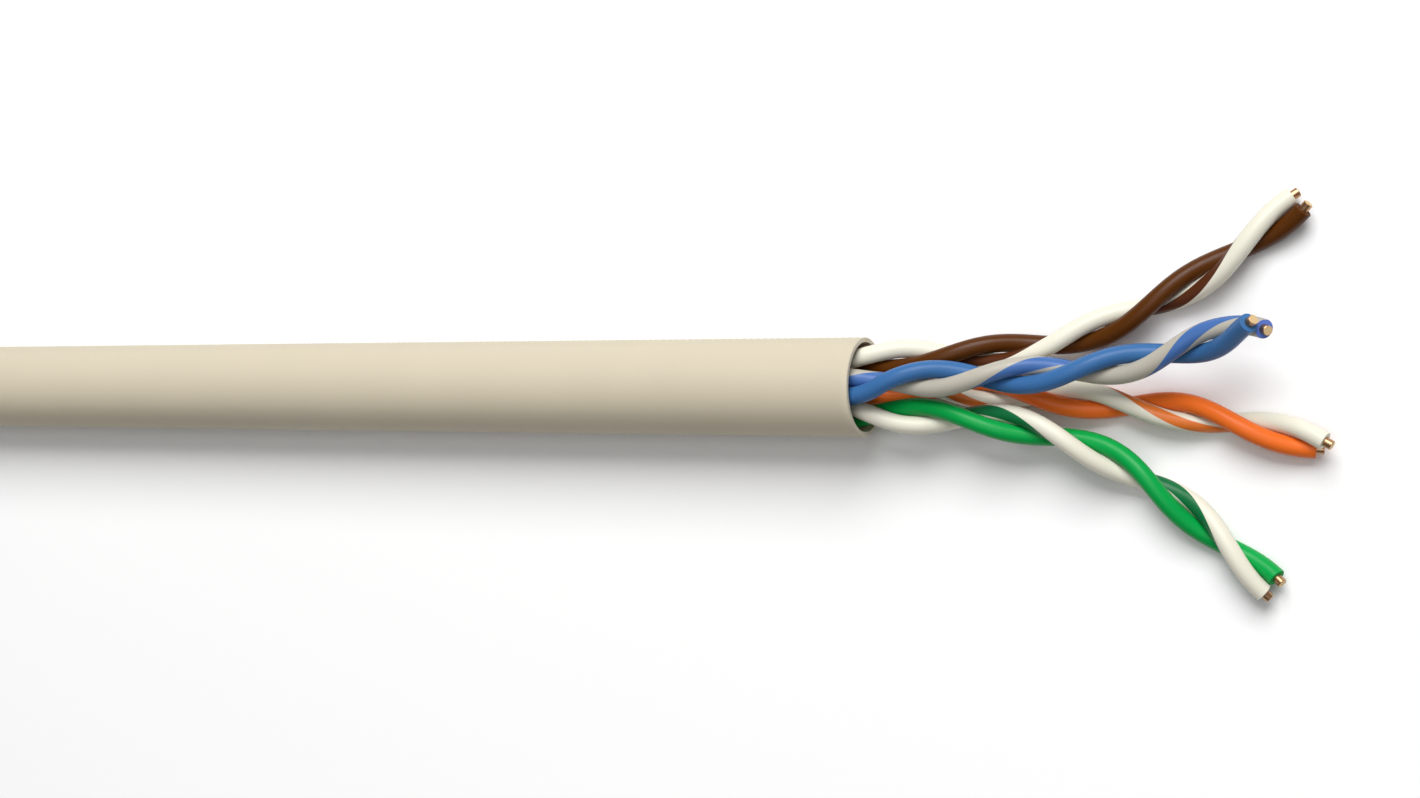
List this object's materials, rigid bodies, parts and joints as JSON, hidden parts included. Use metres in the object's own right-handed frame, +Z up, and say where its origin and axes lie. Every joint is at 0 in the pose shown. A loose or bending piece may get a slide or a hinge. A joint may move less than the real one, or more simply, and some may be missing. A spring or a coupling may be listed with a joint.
{
  "type": "twisted-pair data cable",
  "caption": "Cut length of unshielded twisted-pair data cable, its round sheath stripped back and its coloured pairs fanned out ready for termination.",
  "frame": {"origin": "centre of the sheath's cut mouth, on the cable axis", "axes": "+X along the cable from the sheath out to the fanned pairs; +Z up from the surface the cable lies on; +Y to the left looking along +X"},
  "size_m": [0.0884, 0.02, 0.0064],
  "materials": {
    "sheath": "satin, beige-grey",
    "insulation_brown": "satin, brown",
    "insulation_white_brown": "satin, white with one lengthwise brown stripe",
    "insulation_blue": "satin, blue",
    "insulation_white_blue": "satin, white with one lengthwise blue stripe",
    "insulation_green": "satin, green",
    "insulation_white_green": "satin, white with one lengthwise green stripe",
    "insulation_orange": "satin, orange",
    "insulation_white_orange": "satin, white with one lengthwise orange stripe",
    "copper": "bright drawn copper"
  },
  "bodies": {
    "root": {"sheath": "sheath", "insulation_brown": "insulation_brown", "copper_brown": "copper", "insulation_white_brown": "insulation_white_brown", "copper_white_brown": "copper", "insulation_blue": "insulation_blue", "copper_blue": "copper", "insulation_white_blue": "insulation_white_blue", "copper_white_blue": "copper", "insulation_green": "insulation_green", "copper_green": "copper", "insulation_white_green": "insulation_white_green", "copper_white_green": "copper", "insulation_orange": "insulation_orange", "copper_orange": "copper", "insulation_white_orange": "insulation_white_orange", "copper_white_orange": "copper"}
  },
  "joints": []
}
